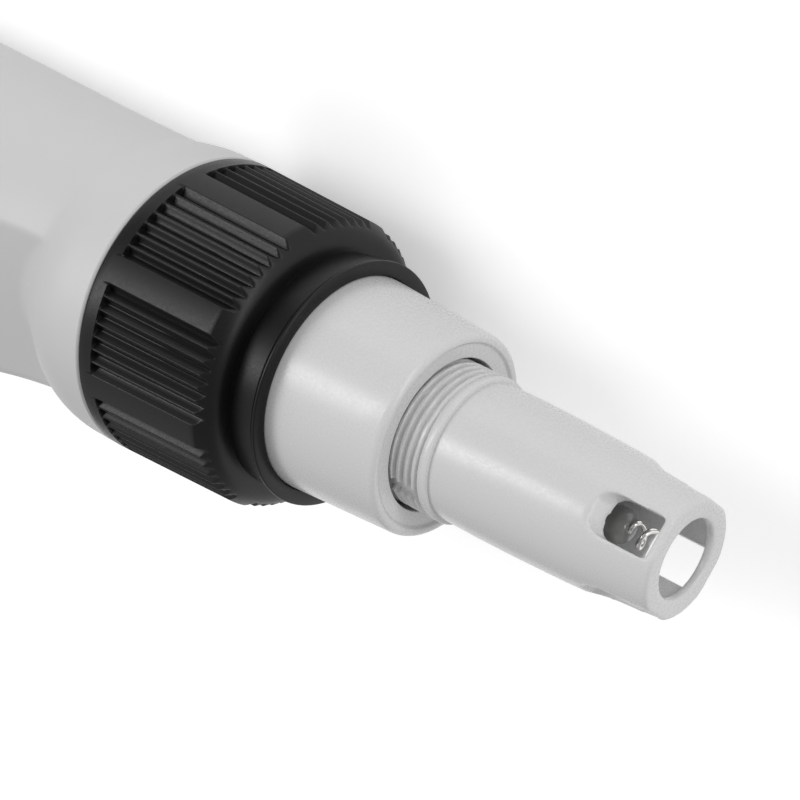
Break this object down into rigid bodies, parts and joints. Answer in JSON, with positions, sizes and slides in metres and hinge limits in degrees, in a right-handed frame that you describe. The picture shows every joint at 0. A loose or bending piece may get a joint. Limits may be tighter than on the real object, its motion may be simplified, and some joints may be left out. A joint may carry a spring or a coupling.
{
  "type": "water quality meter",
  "caption": "Pen-type water meter: flat-fronted head with display and keys, ribbed twist collar, tapered electrode module and a slotted open-ended guard.",
  "frame": {"origin": "middle of the footprint, on the surface that the meter lies on with its display up", "axes": "+X along the meter towards the sensing tip, +Z out of the display, +Y to the left of the display seen with the tip away"},
  "size_m": [0.1728, 0.0356, 0.0406],
  "materials": {
    "housing_shell": "moulded ABS, light grey, fine satin",
    "panel_insert": "moulded ABS plate, mid grey",
    "seal_rubber": "black nitrile rubber",
    "clear_window": "clear polycarbonate",
    "lcd_cell": "reflective liquid crystal cell",
    "dark_plastic": "black glass-filled nylon",
    "contact_rubber": "layered silicone contact strip",
    "circuit_board": "green solder mask on glass laminate",
    "screw_steel": "zinc-plated steel",
    "chip_black": "moulded epoxy",
    "component_metal": "tinned metal",
    "mat_silicone": "grey silicone",
    "key_plastic": "dark grey moulded key",
    "connector_plastic": "ivory nylon",
    "flex_film": "amber polyimide film",
    "gold_contact": "gold-plated brass",
    "cell_steel": "nickel-plated steel can",
    "spring_steel": "nickel-plated spring steel",
    "cap_black": "black moulded ABS",
    "collar_black": "black moulded plastic, satin gloss",
    "washer_plastic": "slippery fluoropolymer",
    "shell_white": "white moulded plastic, semi-gloss",
    "barrel_white": "white moulded plastic, semi-gloss",
    "guard_white": "white moulded plastic, semi-gloss",
    "porous_junction": "sintered porous plastic",
    "silver_wire": "silver wire",
    "stem_glass": "clear glass tube",
    "platinum": "bright platinum wire"
  },
  "bodies": {
    "meter": {"housing": "housing_shell", "front_panel": "panel_insert", "panel_gasket": "seal_rubber", "display_window": "clear_window", "lcd_glass": "lcd_cell", "lcd_frame": "dark_plastic", "zebra_strips": "contact_rubber", "main_board": "circuit_board", "board_screws": "screw_steel", "controller_chip": "chip_black", "board_components": "component_metal", "tact_switches": "dark_plastic", "keypad_mat": "mat_silicone", "flex_connector": "connector_plastic", "sensor_flex": "flex_film", "connector_socket": "dark_plastic", "socket_pins": "gold_contact", "button_cells": "cell_steel", "battery_end_contact": "spring_steel"},
    "power_key": {"power_button": "key_plastic"},
    "mode_key": {"mode_button": "key_plastic"},
    "cal_key": {"cal_button": "key_plastic"},
    "cap_seal": {"battery_cap_oring": "seal_rubber"},
    "battery_cap": {"battery_cap": "cap_black", "battery_spring": "spring_steel"},
    "electrode_module": {"electrode_shell": "shell_white", "shell_oring": "seal_rubber", "electrode_plug": "dark_plastic", "plug_contacts": "gold_contact", "sensor_barrel": "barrel_white", "barrel_seal": "seal_rubber", "electrode_guard": "guard_white", "stem_holder": "barrel_white", "reference_junction": "porous_junction", "reference_wire": "silver_wire", "glass_stem": "stem_glass", "stem_lead": "silver_wire", "platinum_wire": "platinum", "slip_washer": "washer_plastic", "module_gasket": "seal_rubber"},
    "collar": {"collar": "collar_black"}
  },
  "joints": [
    {"name": "power_press", "type": "slide", "parent": "meter", "child": "power_key", "axis": [0, 0, -1], "range_m": [0, 0.0008], "stiffness_N_per_m": 800},
    {"name": "mode_press", "type": "slide", "parent": "meter", "child": "mode_key", "axis": [0, 0, -1], "range_m": [0, 0.0008], "stiffness_N_per_m": 800},
    {"name": "cal_press", "type": "slide", "parent": "meter", "child": "cal_key", "axis": [0, 0, -1], "range_m": [0, 0.0008], "stiffness_N_per_m": 800},
    {"name": "cap_lift", "type": "slide", "parent": "meter", "child": "cap_seal", "axis": [-1, 0, 0], "range_m": [0, 0.003]},
    {"name": "cap_turn", "type": "hinge", "parent": "cap_seal", "child": "battery_cap", "pos_m": [-0.08205, 0, 0.0177], "axis": [-1, 0, 0], "range_deg": [0, 722]},
    {"name": "module_draw", "type": "slide", "parent": "meter", "child": "electrode_module", "axis": [1, 0, 0], "range_m": [0, 0.006]},
    {"name": "collar_turn", "type": "hinge", "parent": "electrode_module", "child": "collar", "pos_m": [0.02795, 0, 0.0177], "axis": [1, 0, 0], "range_deg": [0, 1083]}
  ],
  "couplings": [
    {"joint": "cap_turn", "follows": "cap_lift", "rad_per_m": 4188.8},
    {"joint": "collar_turn", "follows": "module_draw", "rad_per_m": 3141.6}
  ]
}
